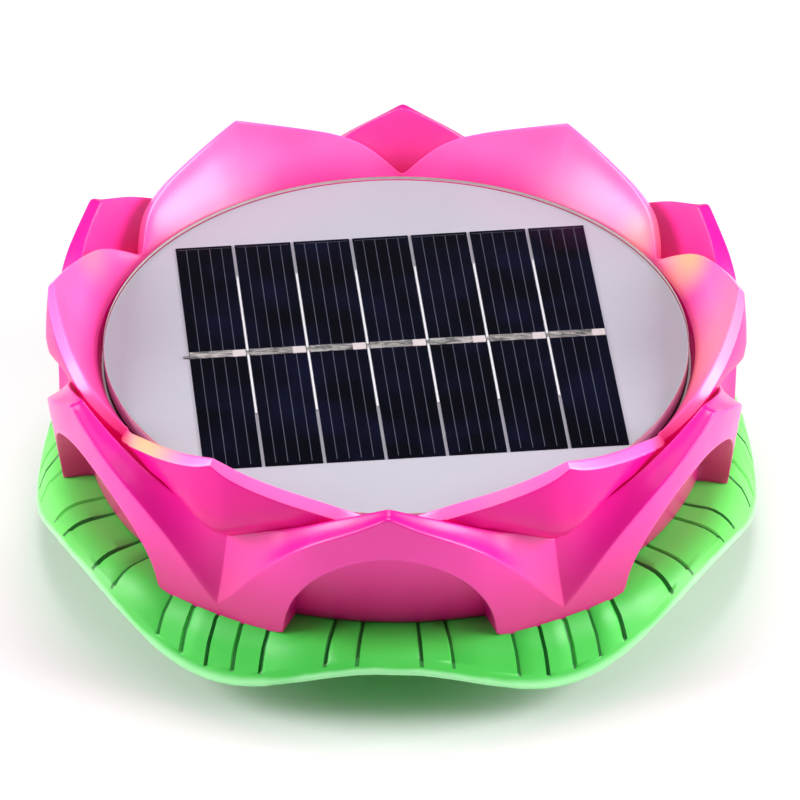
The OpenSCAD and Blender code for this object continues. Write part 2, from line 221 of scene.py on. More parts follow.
class Finish:
    """A material with its Principled shader and the piece's own coordinates, in millimetres."""

    def __init__(self, name, **constants):
        self.material = bpy.data.materials.new(name)
        self.material.use_nodes = True
        tree = self.material.node_tree
        self.shader = tree.nodes["Principled BSDF"]
        for key, value in constants.items():
            self.shader.inputs[key.replace("_", " ")].default_value = value
        place = tree.nodes.new("ShaderNodeTexCoord")
        self.place = Sock(tree, place.outputs["Object"])
        split = self.place.node("ShaderNodeVectorMath", {"operation": "SCALE"},
                                {0: self.place, "Scale": 1 / MM})
        self.mm = split
        self.x = split.node("ShaderNodeSeparateXYZ", None, {0: split}, out=0)
        self.y = split.node("ShaderNodeSeparateXYZ", None, {0: split}, out=1)
        self.z = split.node("ShaderNodeSeparateXYZ", None, {0: split}, out=2)

    def plain(self, value):
        """One colour, as a Sock."""
        made = self.place.node("ShaderNodeRGB")
        made.out.default_value = value
        return made

    def tones(self, dark, light, share):
        """A colour between two tones, by a share that varies over the piece."""
        return self.plain(dark).blend(self.plain(light), share)

    def noise(self, size, detail=3.0, roughness=0.5, stretch=(1, 1, 1), distortion=0.0):
        """Cloudy noise with grains about `size` millimetres across, 0 to 1."""
        scaled = self.mm.node("ShaderNodeVectorMath", {"operation": "MULTIPLY"},
                              {0: self.mm, 1: tuple(s / size for s in stretch)})
        return scaled.node("ShaderNodeTexNoise", None,
                           {"Vector": scaled, "Scale": 1.0, "Detail": detail,
                            "Roughness": roughness, "Distortion": distortion})

    def set(self, socket, value):
        """Link a varying value to one socket of the shader."""
        self.material.node_tree.links.new(value.out, self.shader.inputs[socket])

    def bump(self, height, depth):
        """Surface relief from a 0 to 1 height, `depth` millimetres deep."""
        self.set("Normal", height.node("ShaderNodeBump", None,
                                       {"Height": height, "Distance": depth * MM, "Strength": 1.0}))

    def glow(self, colour, strength):
        """Light given off, of a varying colour."""
        self.set("Emission Color", colour)
        self.shader.inputs["Emission Strength"].default_value = strength


def paint(piece, finish):
    """Give a piece, or a CAD node, this finish alone."""
    thing = frame["nodes"][piece] if isinstance(piece, str) else piece
    thing.data.materials.clear()
    thing.data.materials.append(finish.material)


def second_finish(piece, finish, belongs):
    """Give the faces that belong a second finish; belongs(place in mm, normal) says which."""
    piece.data.materials.append(finish.material)
    chosen = [f for f in piece.data.polygons if belongs(np.array(f.center) / MM, f.normal)]
    for face in chosen:
        face.material_index = 1
    print(f"{finish.material.name}: {len(chosen)} faces of {piece.name}")


def inwards(place, normal):
    """How far a face looks towards the upright axis, from -1 to 1."""
    return -(normal[0] * place[0] + normal[1] * place[1]) / math.hypot(place[0], place[1])


print("shader helper ready")

# %% [markdown]
# The petals are injection-moulded plastic, slightly translucent, with a satin skin. Their colour
# is painted darker magenta near the foot, as painted shade, and lighter pink at the rims, as painted
# light. Very fine relief breaks up the highlights as a mould's finish does. A little light travels
# under the skin, so the shader has subsurface scattering.

# %% Petal finishes
def petal_finish(name, deep, bright, warm, low, high, coat=0.7):
    """Moulded pink: darker at the height `low` as painted shade, lighter at `high` as painted light, with a
    warm blush in places.
    """
    f = Finish(name, Roughness=0.38, IOR=1.4, Subsurface_Weight=0.1, Subsurface_Scale=0.004,
               Coat_Weight=coat, Coat_Roughness=0.28)
    f.shader.inputs["Subsurface Radius"].default_value = (1.0, 0.25, 0.5)
    cloud = f.noise(26, detail=2)
    # the height ramp paints shade low on the petals and light high on them
    height = f.z.ramp(low, high)
    body = f.tones(deep, bright, (height * 0.75 + cloud * 0.4 - 0.1).clamped())
    blush = (f.noise(17, detail=1).ramp(0.58, 0.78) * 0.35).clamped()
    f.set("Base Color", body.blend(f.plain(warm), blush))
    f.set("Roughness", 0.3 + f.noise(3, detail=4) * 0.12)
    f.bump(f.noise(0.7, detail=3, roughness=0.6), 0.012)
    return f


outer_pink = petal_finish("outer_petal_plastic", srgb(196, 0, 104), srgb(246, 2, 166), srgb(242, 24, 146),
                          SEAT - 2, SEAT + 22, coat=0.6)
inner_pink = petal_finish("inner_petal_plastic", srgb(218, 0, 120), srgb(240, 8, 152), srgb(242, 20, 136),
                          SEAT + 16, SEAT + 38, coat=0.15)
inner_pink.shader.inputs["IOR"].default_value = 1.3
# the low part of the inner ring, in the narrow space between the two rings, gets a painted deep red glow,
# standing in for light that comes through the plastic there
painted_gap_glow = 1 - inner_pink.z.ramp(35, 43)
inner_pink.glow(inner_pink.tones((0.0, 0.0, 0.0, 1), (0.55, 0.0, 0.03, 1), painted_gap_glow.clamped()), 0.35)
print("petal finishes:", outer_pink.material.name, inner_pink.material.name)

# %% [markdown]
# A petal's rim is given by its radius and height at a few stations between tip and crease.
# A cubic runs through them, and its slope is held back where it would swing past a station,
# so a straight run stays straight. The small point helpers below place each section's points.

# %% Smooth lines through a few stations
def smooth_line(*stations):
    """A smooth curve through (x, y) stations that never swings past them."""
    x, y = np.array(stations, float).T
    slope = np.diff(y) / np.diff(x)
    tangent = np.concatenate([slope[:1], (slope[:-1] + slope[1:]) / 2, slope[-1:]])
    steep = 3 * np.minimum(np.abs(slope[:-1]), np.abs(slope[1:]))
    tangent[1:-1] = np.clip(tangent[1:-1], -steep, steep)
    tangent[1:-1][slope[:-1] * slope[1:] <= 0] = 0

    def at(t):
        i = int(np.clip(np.searchsorted(x, t) - 1, 0, len(slope) - 1))
        w = x[i + 1] - x[i]
        s = (t - x[i]) / w
        return (y[i] * (1 + 2 * s) * (1 - s) ** 2 + tangent[i] * w * s * (1 - s) ** 2
                + y[i + 1] * s * s * (3 - 2 * s) + tangent[i + 1] * w * s * s * (s - 1))
    return at


def between(p, q, share):
    """The point a share of the way from p to q."""
    return p + (q - p) * share


def step_from(p, q, length):
    """The point `length` from p towards q, and at most halfway."""
    gap = np.linalg.norm(q - p)
    return between(p, q, min(0.5, length / max(gap, 1e-6)))


def rz(r, z):
    """A point of a section: its radius and its height."""
    return np.array([r, z], float)


print("halfway up a test line:", smooth_line((0, 0), (1, 1), (2, 1))(0.5))

# %% [markdown]
# A ring of petals is one closed moulding. It starts as a torus primitive whose rows and
# columns are then moved to their places, as a modeller pulls a cage: each column is one
# section through the petal, and the columns stand closer together where a crease or a notch
# needs a crisp edge. A subdivision then rounds every edge by the spacing of its rows.

# %% Ring cage helper
def ring_piece(name, angles, sections, levels=1):
    """A closed ring from one section per angle; angles are in degrees from the front."""
    columns, rows = len(angles), len(sections[0])
    deselect()
    bpy.ops.mesh.primitive_torus_add(major_segments=columns, minor_segments=rows,
                                     major_radius=DISC_R * MM, minor_radius=8 * MM)
    piece = bpy.context.active_object
    piece.name = piece.data.name = name
    start = np.array([v.co for v in piece.data.vertices])
    out = np.hypot(start[:, 0], start[:, 1]) - DISC_R * MM
    round_way = np.arctan2(start[:, 1], start[:, 0]) / (2 * np.pi)
    column = np.rint(round_way * columns).astype(int) % columns
    row = np.rint(np.arctan2(start[:, 2], out) / (2 * np.pi) * rows).astype(int) % rows
    grid = np.array(sections)[column, row]
    turn = np.radians(np.array(angles))[column]
    place = np.column_stack([grid[:, 0] * np.sin(turn), -grid[:, 0] * np.cos(turn), grid[:, 1]]) * MM
    piece.data.vertices.foreach_set("co", place.ravel())
    piece.data.update()
    if levels:
        rounding = piece.modifiers.new("rounding", "SUBSURF")
        rounding.levels = rounding.render_levels = levels
        bpy.ops.object.modifier_apply(modifier="rounding")
    bpy.ops.object.shade_smooth()
    print(f"{name}: {len(piece.data.polygons)} faces")
    return piece


def full_round(half, sector=60):
    """Column angles for the whole ring from those of half a petal, tip to crease."""
    one = list(half) + [sector / 2] + [sector - a for a in reversed(half[1:])]
    return [s + a for s in range(0, 360, sector) for a in one]


def from_tip(angle, first, sector=60):
    """Angle from the nearest petal tip."""
    past = (angle - first) % sector
    return min(past, sector - past)


print("columns of a plain ring:", len(full_round([0, 15])))

# %% [markdown]
# The outer petals. Each has a pointed ridge, a broad rim that twists from level at the tip to
# steep at the crease, and an arched niche in its outer face. The rim has an inner and an outer
# edge, each a smooth line of radius and height against the angle from the petal's tip.

# %% Outer petals
FOOT_R = 70.4
NICHE_HALF = 17.6
outer_in_r = smooth_line((0, 71.0), (4, 70.4), (8, 69.7), (13, 68.4), (18, 66.9), (23, 65.9), (30, 64.7))
outer_in_z = smooth_line((0, 54.5), (4, 52.6), (8, 50.5), (13, 47.3), (18, 44), (23, 41.2), (30, 36.6))
outer_out_r = smooth_line((0, 73.9), (8, 73.5), (13, 73), (18, 71.7), (23, 70.2), (30, 69))
outer_out_z = smooth_line((0, 54), (4, 50.9), (8, 48.4), (13, 44.8), (18, 39.3), (23, 32.3), (27, 26),
                          (30, 22.2))


def foot_radius(p):
    """The foot draws in a little from the petal's middle to the crease."""
    return FOOT_R - 0.9 * (1 - math.cos(math.radians(6 * p)))


def outer_face(p, z):
    """The point of the outer face at a height."""
    top, foot = outer_out_z(p), foot_radius(p)
    return rz(foot + (outer_out_r(p) - foot) * (z - SEAT) / (top - SEAT), z)


def outer_section(angle):
    """The outer ring's section, up the outer face, over the rim and down the inside."""
    p = from_tip(angle, 0)
    ridge, rim = rz(outer_out_r(p), outer_out_z(p)), rz(outer_in_r(p), outer_in_z(p))
    neck, waist, inner_foot = rz(64.65, 35.9), rz(61.2, 30), rz(60.8, SEAT)
    if p < NICHE_HALF:
        arch = SEAT + 1.4 + 21.7 * (1 - (p / NICHE_HALF) ** 2) ** 0.62
        wall = [rz(62.9 + 0.1 * (z - SEAT) + 0.0072 * (z - SEAT) ** 2, z)
                for z in (between(SEAT, arch, s) for s in (0, 0.08, 0.5, 0.88, 1))]
        lip = outer_face(p, arch)
        foot = [rz(61.6, SEAT), *wall, between(wall[-1], lip, 0.5), step_from(lip, wall[-1], 0.45),
                lip]
    else:
        low = SEAT - float(np.interp(p, (NICHE_HALF, 21), (0, 0.9)))
        corner, lip = rz(foot_radius(p), low), outer_face(p, low + 0.9)
        foot = [rz(63.5, SEAT), rz(66, SEAT), rz(corner[0] - 0.9, low), rz(corner[0] - 0.2, low),
                *(between(corner, lip, s) for s in (0, 0.15, 0.35, 0.6, 0.8))]
    above = outer_face(p, foot[-1][1] + 0.5)
    scoop = between(neck, rim, 0.5) + rz(0.9, -0.7) * (rim[1] - 36.6) / 18
    return [inner_foot, *foot, above, between(above, ridge, 0.35), between(above, ridge, 0.7),
            step_from(ridge, above, 0.6), ridge, step_from(ridge, rim, 0.6),
            between(ridge, rim, 0.5) - rz(0.25, 0.25), step_from(rim, ridge, 0.5), rim,
            step_from(rim, scoop, 0.5), scoop, neck, waist]


outer_half = [0, 0.3, 0.9, 1.8, 3, 4.5, 6, 7.5, 9, 10.5, 12, 13.3, 14.4, 15.3, 16, 16.5, 16.9, 17.2,
              17.4, 17.54, 17.62, 17.75, 18, 18.5, 19.5, 21, 22.5, 24, 25.5, 27, 28.3, 29.2, 29.7, 29.93]
outer_angles = full_round(outer_half)
outer_petals = ring_piece("outer_petals", outer_angles, [outer_section(a) for a in outer_angles])
# the outer petals' inward faces: darker low down as painted shade, and a painted glow, red low down and pink
# higher up and in cloudy patches, standing in for light through the plastic
backs_with_painted_glow = petal_finish("outer_petal_backs_painted_glow", srgb(226, 6, 130), srgb(246, 30, 158), srgb(252, 60, 150),
                         SEAT + 16, SEAT + 34)
behind = backs_with_painted_glow.z.ramp(SEAT + 15, SEAT + 30) * (0.5 + backs_with_painted_glow.noise(14, detail=1))
backs_with_painted_glow.glow(backs_with_painted_glow.tones((0.7, 0.0, 0.05, 1), srgb(255, 120, 200), behind.clamped()), 0.2)
paint(outer_petals, outer_pink)
second_finish(outer_petals, backs_with_painted_glow,
              lambda place, normal: inwards(place, normal) > 0.2 and place[2] > SEAT + 14)
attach(outer_petals, "light")
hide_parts("outer_petal_ring")

# %% [markdown]
# The inner petals stand half a petal round from the outer ones. Their inner faces are scoops
# that rise from the disc's edge, and their rims have a narrow bevel outwards. Below the bevel
# the face swells at the middle of the petal, and stays clear of the outer ring beside it.

# %% Inner petals
inner_rim_r = smooth_line((0, 69.3), (6, 68.3), (12, 67.3), (18, 66.4), (23, 65.2), (27, 63.1), (30, 61.3))
inner_rim_z = smooth_line((0, 58.4), (6, 55.9), (12, 53.8), (18, 51.8), (23, 49.3), (27, 46.4),
                          (29.3, 44.6), (30, 44.4))
swell_low = smooth_line((-1, 6.0), (0, 6.0), (3, 5.3), (6, 3.4), (12, 0.6), (18, 0), (31, 0))
swell_high = smooth_line((-1, 5.2), (0, 5.2), (3, 4.9), (6, 4.0), (12, 1.8), (18, 0.4), (24, 0), (31, 0))
inner_bevel = smooth_line((0, 1.2), (3, 1.7), (18, 1.9), (27, 1.7), (30, 1.4))


def inner_section(angle):
    """The inner ring's section, up the outer face, over the rim, down the scoop and the seat."""
    p = from_tip(angle, 30)
    rim = rz(inner_rim_r(p), inner_rim_z(p))
    skirt = rim + rz(inner_bevel(p), -inner_bevel(p))
    neck = rz(float(np.interp(p, (0, 15, 30), (64.15, 64.1, 63.2))), 35.8)
    lip, rise = rz(DISC_R + 1.2, DISC_TOP - 1.4), (rim[1] - 44) / 14
    ledge = BOARD_LOW - 2
    slope = between(neck, skirt, 0.42) + rz(-0.6, 0.3) * rise
    beside_rim = rz(outer_in_r(30 - p) - 0.45, outer_in_z(30 - p) + 0.1)
    clear = between(slope, beside_rim, float(np.interp(p, (12, 15), (1, 0))))
    low_belly = between(clear, skirt, 0.2) + rz(0.8, -0.1) * swell_low(p)
    high_belly = between(clear, skirt, 0.5) + rz(0.8, -0.3) * swell_high(p)
    scoop = rz(0.8, -0.6) * rise
    return [rz(58.3, SEAT), rz(60.3, SEAT), rz(60.6, 30.3), neck,
            clear, low_belly, high_belly, step_from(skirt, high_belly, 0.5),
            skirt, step_from(skirt, rim, 0.45), step_from(rim, skirt, 0.4), rim,
            step_from(rim, lip, 0.5), between(lip, rim, 0.75) + scoop * 0.8,
            between(lip, rim, 0.5) + scoop, between(lip, rim, 0.25) + scoop * 0.8, lip,
            rz(DISC_R + 0.5, BOARD_LOW + 1.6), rz(DISC_R + 0.5, ledge), rz(56.3, ledge),
            rz(56, ledge - 0.3), rz(56, ledge - 1.4), rz(58.3, ledge - 3.2)]


inner_half = [0, 0.35, 1, 2, 3.5, 5, 7, 9, 11, 13, 15, 17, 19, 20.7, 22.2, 23.6, 24.9, 26.1, 27.2, 28.1,
              28.8, 29.35, 29.75]
inner_angles = [a + 30 for a in full_round(inner_half)]
inner_petals = ring_piece("inner_petals", inner_angles, [inner_section(a) for a in inner_angles])

# %% [markdown]
# The scoops get a painted glow and a lighter colour towards the rim, standing in for light through
# the plastic, and painted warm patches of light. A patch is a ball round a place on the flower that
# fades to nothing at its size: its radius and height, its angle from the front, its size and its share.

# %% Scoops with painted glow
def near_spot(f, radius, height, angle, size):
    """1 at a place on the flower, falling smoothly to 0 at `size` millimetres from it."""
    a = math.radians(angle)
    spot = (radius * math.sin(a), -radius * math.cos(a), height)
    away = f.mm.node("ShaderNodeVectorMath", {"operation": "DISTANCE"}, {0: f.mm, 1: spot}, out=1)
    return 1 - away.ramp(0, size)


# places of the painted warm patches of light
PAINTED_WARM_SPOTS = ((64.5, 50, 113, 12, 0.8), (62.5, 46, 127, 9, 0.35), (66.5, 51, -46, 16, 0.8),
              (67, 52, -108, 10, 0.25), (64, 48, 84, 26, 0.28), (66, 50, 20, 9, 0.15))
scoop_pink = petal_finish("inner_petal_scoops", srgb(236, 20, 138), srgb(250, 60, 172), srgb(255, 120, 150),
                          SEAT + 20, SEAT + 38)
# painted light: glow and colour rise towards the rim, standing in for light through the plastic
through = scoop_pink.z.ramp(DISC_TOP - 4, DISC_TOP + 6) * (0.55 + scoop_pink.noise(16, detail=1) * 0.9)
shine = scoop_pink.tones((0.01, 0.002, 0.005, 1), (0.46, 0.15, 0.29, 1), through.clamped())
scoop_colour_painted_light = scoop_pink.tones(srgb(240, 24, 140), srgb(250, 64, 172), through.clamped())
# painted warm patches of light, blended into both the glow and the colour
for radius, height, angle, size, share in PAINTED_WARM_SPOTS:
    painted_warm_share = (near_spot(scoop_pink, radius, height, angle, size) * share).clamped()
    shine = shine.blend(scoop_pink.plain((0.7, 0.34, 0.12, 1)), painted_warm_share)
    scoop_colour_painted_light = scoop_colour_painted_light.blend(scoop_pink.plain(srgb(255, 168, 96)), painted_warm_share)
scoop_pink.set("Base Color", scoop_colour_painted_light)
scoop_pink.glow(shine, 0.78)
paint(inner_petals, inner_pink)
second_finish(inner_petals, scoop_pink, lambda place, normal: place[2] > DISC_TOP - 2 and (
    inwards(place, normal) > 0.2 or normal[2] > 0.45))
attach(inner_petals, "light")
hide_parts("inner_petal_ring")

# %% [markdown]
# The leaf is one thin moulding, flat under the petals and drooping in six waves. Its veins
# are pressed grooves with round ends, so they are cut into the cage: five columns run down
# each vein, and its depth falls to nothing at the sides and at the outer end.

# %% Leaf
LEAF_R, LEAF_T = 74.3, 2.0
RIM_Z, RIM_WAVE, SHOULDER = 12.5, 4.9, 66.5
VEINS = [s + v for s in range(0, 360, 60) for v in (5, 10, 20.5, 25.3, 30, 34.7, 39.5, 50, 55)]
VEIN_W, VEIN_D = 0.42, 0.65


def leaf_curve(angle):
    """Radius, height and way along the leaf's top, from the rim inwards."""
    droop = SEAT - RIM_Z - RIM_WAVE * math.cos(math.radians(6 * angle))
    r = np.linspace(LEAF_R, 62, 260)
    z = SEAT - droop * np.clip((r - SHOULDER) / (LEAF_R - SHOULDER), 0, None) ** 2.8
    along = np.concatenate([[0], np.cumsum(np.hypot(np.diff(r), np.diff(z)))])
    return r, z, along


def vein_depth(angle, way, r):
    """How deep the nearest vein is at a way from the rim."""
    k = int(np.argmin([abs((angle - v + 180) % 360 - 180) for v in VEINS]))
    side = abs((angle - VEINS[k] + 180) % 360 - 180) * math.radians(1) * r
    end = 2.1 + 0.5 * ((k * 5) % 7) / 7
    past = max(0.0, end + VEIN_W - way)
    return VEIN_D * math.sqrt(max(0.0, 1 - (side / VEIN_W) ** 2 - (past / VEIN_W) ** 2)) ** 0.8


def leaf_section(angle):
    """The leaf's section, from under its middle out to the rim and back over the top."""
    r, z, along = leaf_curve(angle)

    def under(way, depth):
        """The point under the top surface, square to it."""
        i = min(max(int(np.searchsorted(along, way)), 1), len(r) - 1)
        s = (way - along[i - 1]) / (along[i] - along[i - 1])
        here = rz(r[i - 1] + s * (r[i] - r[i - 1]), z[i - 1] + s * (z[i] - z[i - 1]))
        run = rz(r[i - 1] - r[i], z[i - 1] - z[i])
        run /= np.linalg.norm(run)
        return here - depth * rz(-run[1], run[0]), run

    whole = along[-1]
    bottom = [under(w, LEAF_T)[0] for w in (whole, whole * 0.75, whole * 0.5, 6, 3.5, 2, 1.0, 0.45)]
    centre, run = under(0.0, LEAF_T / 2)
    square = rz(-run[1], run[0])
    edge = [centre + (LEAF_T / 2) * (math.cos(a) * run * 0.8 + math.sin(a) * square)
            for a in np.radians([-55, -20, 20, 55])]
    top = []
    for w in (0.3, 0.9, 1.6, 1.9, 2.2, 2.5, 2.8, 3.3, 4.2, 5.6, 7.5):
        here = under(w, 0)[0]
        top.append(under(w, vein_depth(angle, w, here[0]))[0])
    for share in (0.62, 0.78, 1.0):
        w = max(8.5, whole * share)
        here = under(min(w, whole), 0)[0]
        top.append(under(min(w, whole), vein_depth(angle, 20, here[0]))[0])
    return [rz(46, SEAT - LEAF_T), rz(55, SEAT - LEAF_T), *bottom, *edge, *top, rz(56, SEAT), rz(46, SEAT)]


side_steps = (-0.75, -0.45, -0.36, -0.3, -0.2, 0, 0.2, 0.3, 0.36, 0.45, 0.75)
leaf_angles = sorted(v + d for v in VEINS for d in side_steps)
gaps = [(a, b) for a, b in zip(leaf_angles, leaf_angles[1:] + [leaf_angles[0] + 360]) if b - a > 1]
leaf_angles = sorted(leaf_angles + [a + (b - a) * s for a, b in gaps
                                    for s in ((0.25, 0.5, 0.75) if b - a > 5 else (0.33, 0.67))])
leaf = ring_piece("leaf", leaf_angles, [leaf_section(a) for a in leaf_angles], levels=0)
bpy.ops.object.shade_smooth_by_angle(angle=math.radians(50))

# %% [markdown]
# The leaf's plastic is mottled green, painted lighter at the two sides as painted light, with a
# pale painted highlight along the rim. The faces in the grooves get a darker green of their own, as painted
# shade.

# %% Leaf finish
leaf_green = Finish("leaf_plastic", Roughness=0.48, IOR=1.4, Subsurface_Weight=0.08,
                    Subsurface_Scale=0.003, Coat_Weight=0.25, Coat_Roughness=0.4)
leaf_green.shader.inputs["Subsurface Radius"].default_value = (0.3, 1.0, 0.25)
mottle = leaf_green.noise(22, detail=2)
body_green = leaf_green.tones(srgb(46, 186, 56), srgb(84, 214, 86), (mottle * 0.9).clamped())
level = leaf_green.mm.node("ShaderNodeVectorMath", {"operation": "MULTIPLY"}, {0: leaf_green.mm, 1: (1, 1, 0)})
reach = level.node("ShaderNodeVectorMath", {"operation": "LENGTH"}, {0: level}, out=1)
# painted light: the leaf is lighter towards the two sides, where the side lights fall
painted_side_light = (leaf_green.x.math("ABSOLUTE", leaf_green.x).ramp(38, 72) * 0.6).clamped()
body_green = body_green.blend(leaf_green.plain(srgb(128, 234, 110)), painted_side_light)
# a painted highlight along the rim's top edge
painted_rim_highlight = reach.ramp(LEAF_R - 0.55, LEAF_R - 0.05) * 0.75
leaf_green.set("Base Color", body_green.blend(leaf_green.plain(srgb(178, 250, 186)), painted_rim_highlight.clamped()))
leaf_green.set("Roughness", 0.42 + leaf_green.noise(3, detail=4) * 0.12)
leaf_green.bump(leaf_green.noise(0.8, detail=3, roughness=0.6), 0.012)
# painted shade: the groove faces get a darker green
groove_painted_shade = Finish("leaf_groove_painted_shade", Roughness=0.5)
groove_painted_shade.set("Base Color", groove_painted_shade.tones(srgb(18, 112, 34), srgb(30, 134, 44), groove_painted_shade.noise(5)))


def in_groove(place, normal):
    """Whether a face lies in a vein's groove, on the leaf's upper side."""
    angle = math.degrees(math.atan2(place[0], -place[1]))
    side = min(abs((angle - v + 180) % 360 - 180) for v in VEINS)
    return side < 0.3 and 60 < math.hypot(place[0], place[1]) < LEAF_R - 0.75 and normal[2] > 0.05


paint(leaf, leaf_green)
second_finish(leaf, groove_painted_shade, in_groove)
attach(leaf, "light")
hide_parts("leaf_base")

# %% [markdown]
# The solar disc is a white board with the cell strips on it, and a clear resin skin is cast
# over both. The board and the skin are discs whose edges are bevelled. The skin's edge is
# rough, and painted pale as painted light along the clear edge, in a finish of its own.

# %% Disc board and clear skin
def disc(name, radius, low, high, soft):
    """A round plate with softened edges, radius and heights in millimetres."""
    deselect()
    bpy.ops.mesh.primitive_cylinder_add(vertices=256, radius=radius * MM, depth=(high - low) * MM,
                                        location=(0, 0, (low + high) / 2 * MM))
    piece = bpy.context.active_object
    piece.name = piece.data.name = name
    bpy.ops.object.transform_apply(location=True, rotation=True, scale=True)
    edge = piece.modifiers.new("edge", "BEVEL")
    edge.width, edge.segments, edge.limit_method = soft * MM, 3, "ANGLE"
    bpy.ops.object.modifier_apply(modifier="edge")
    bpy.ops.object.shade_smooth_by_angle(angle=math.radians(35))
    print(f"{name}: {2 * radius:.1f} mm across, {high - low:.2f} mm thick")
    return piece


board = disc("disc_board", DISC_R - 0.5, BOARD_LOW, BOARD_TOP, 0.15)
board_white = Finish("disc_board_white", Roughness=0.4, IOR=1.5)
board_white.set("Base Color", board_white.tones(srgb(206, 203, 218), srgb(214, 210, 222),
                                                board_white.noise(30, detail=2)))
board_white.set("Roughness", 0.36 + board_white.noise(2.5, detail=3) * 0.1)
paint(board, board_white)
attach(board, "light")
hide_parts("panel_backboard")

skin = disc("disc_skin", DISC_R - 0.4, BOARD_TOP + 0.02, DISC_TOP, 0.3)
clear = Finish("clear_skin", Roughness=0.08, IOR=1.45)
clear.set("Base Color", clear.tones(srgb(28, 26, 34), srgb(36, 34, 42), clear.noise(20)))
edge_on = clear.place.node("ShaderNodeLayerWeight", None, {"Blend": 0.5}, out=1)
clear.set("Alpha", (edge_on.math("POWER", edge_on, 3.0) * 0.5 + 0.02 + clear.noise(8) * 0.01).clamped())
paint(skin, clear)
# the pale colour of the skin's edge is painted light along the clear edge
edge_painted_light = Finish("skin_edge_painted_light", Roughness=0.6)
edge_painted_light.set("Base Color", edge_painted_light.tones(srgb(200, 188, 188), srgb(232, 224, 218),
                                          edge_painted_light.noise(1.5, detail=3)))
edge_painted_light.bump(edge_painted_light.noise(0.6, detail=3), 0.05)
second_finish(skin, edge_painted_light, lambda place, normal: abs(normal[2]) < 0.6)
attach(skin, "light")
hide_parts("panel_cover")

# %% [markdown]
# The seven cell strips stay as the CAD has them. Their printed silver lines, the soldered
# ribbon across their middles and the bright tape in the gaps between them are thin raised
# strips, laid in each strip's own directions, which are measured from its corners.

# %% Strip frames
def strip_frame(name):
    """Centre, direction across, direction along, width and length of a cell strip."""
    mesh = frame["nodes"][name].data
    corners = np.unique(np.round([v.co[:2] for v in mesh.vertices], 6), axis=0) / MM
    middle = (corners.min(axis=0) + corners.max(axis=0)) / 2
    _, _, ways = np.linalg.svd(corners - middle)
    along = ways[0] * np.sign(ways[0][1])
    across = np.array([along[1], -along[0]])
    flat = corners - middle
    return middle, across, along, np.ptp(flat @ across), np.ptp(flat @ along)


STRIPS = [strip_frame(f"solar_cell_{k}") for k in range(1, 8)]
STRIP_W, STRIP_L = STRIPS[0][3], STRIPS[0][4]
PITCH = float(np.linalg.norm(STRIPS[1][0] - STRIPS[0][0]))
print(f"strips {STRIP_W:.1f} x {STRIP_L:.1f} mm, {PITCH:.2f} mm apart, "
      f"turned {math.degrees(math.atan2(STRIPS[0][1][1], STRIPS[0][1][0])):.1f} degrees")


def thin_strips(name, bars, soft):
    """Flat bars given as (strip, across, along, width, length, low, high), joined to one piece."""
    deselect()
    made = []
    for k, x, y, width, length, low, high in bars:
        middle, across, along = STRIPS[k][:3]
        spot = middle + across * x + along * y
        bpy.ops.mesh.primitive_cube_add(
            size=1, location=(spot[0] * MM, spot[1] * MM, (low + high) / 2 * MM),
            rotation=(0, 0, math.atan2(across[1], across[0])),
            scale=(width * MM, length * MM, (high - low) * MM))
        made.append(bpy.context.active_object)
    deselect()
    for bar in made:
        bar.select_set(True)
    bpy.context.view_layer.objects.active = made[0]
    bpy.ops.object.join()
    piece = bpy.context.active_object
    piece.name = piece.data.name = name
    bpy.ops.object.transform_apply(location=True, rotation=True, scale=True)
    edge = piece.modifiers.new("edge", "BEVEL")
    edge.width, edge.segments = soft * MM, 1
    bpy.ops.object.modifier_apply(modifier="edge")
    print(f"{name}: {len(bars)} strips")
    return piece


# %% [markdown]
# Each cell strip has fine silver lines printed along it, and one across its far end. They are
# only a few hundredths of a millimetre high, and are modelled so that they catch light.

# %% Printed lines
lines = []
for k in range(7):
    lines += [(k, x, 0, 0.17, STRIP_L - 1.6, CELL_TOP - 0.02, CELL_TOP + 0.03)
              for x in (-3.62, -1.2, 1.22, 3.64)]
    lines.append((k, 0, STRIP_L / 2 - 0.8, STRIP_W - 0.9, 0.12, CELL_TOP - 0.02, CELL_TOP + 0.02))
printed = thin_strips("printed_lines", lines, 0.01)
print_grey = Finish("printed_silver", Roughness=0.5, Metallic=0.2)
print_grey.set("Base Color", print_grey.tones(srgb(56, 60, 78), srgb(88, 92, 110),
                                              print_grey.noise(6, detail=2)))
paint(printed, print_grey)
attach(printed, "light")

# %% [markdown]
# A tinned ribbon is soldered across the middle of each strip, and ends in a bare tab at the
# next one. Solder is smeared unevenly, so its colour and gloss follow the same streaks. The
# bright tape shows in the gaps between the strips.

# %% Ribbons and gap tape
ribbon_bars, tab_bars, tape_bars = [], [], []
for k in range(7):
    ribbon_bars.append((k, -1.35, 0.1, STRIP_W - 2.9, 2.2, CELL_TOP, CELL_TOP + 0.2))
    tab_bars.append((k, STRIP_W / 2 - 1.45, 0.1, 2.7, 2.25, CELL_TOP, CELL_TOP + 0.16))
    if k < 6:
        tape_bars.append((k, PITCH / 2, 3.2, 0.42, STRIP_L * 0.62, BOARD_TOP, CELL_TOP + 0.08))
        ribbon_bars.append((k, PITCH / 2 + 0.1, 0.1, 1.0, 1.1, CELL_TOP, CELL_TOP + 0.2))
ribbon_bars.append((0, -STRIP_W / 2 - 0.6, -0.2, 1.4, 0.5, CELL_TOP - 0.1, CELL_TOP + 0.12))
ribbons = thin_strips("cell_ribbon_strips", ribbon_bars, 0.05)
tin = Finish("ribbon_solder", Metallic=0.55)
smear = tin.noise(1.6, detail=5, roughness=0.7, stretch=(0.45, 1.5, 1), distortion=1.2).ramp(0.36, 0.68)
tin.set("Base Color", tin.tones(srgb(92, 92, 92), srgb(222, 218, 216), smear))
tin.set("Roughness", 0.62 - smear * 0.25)
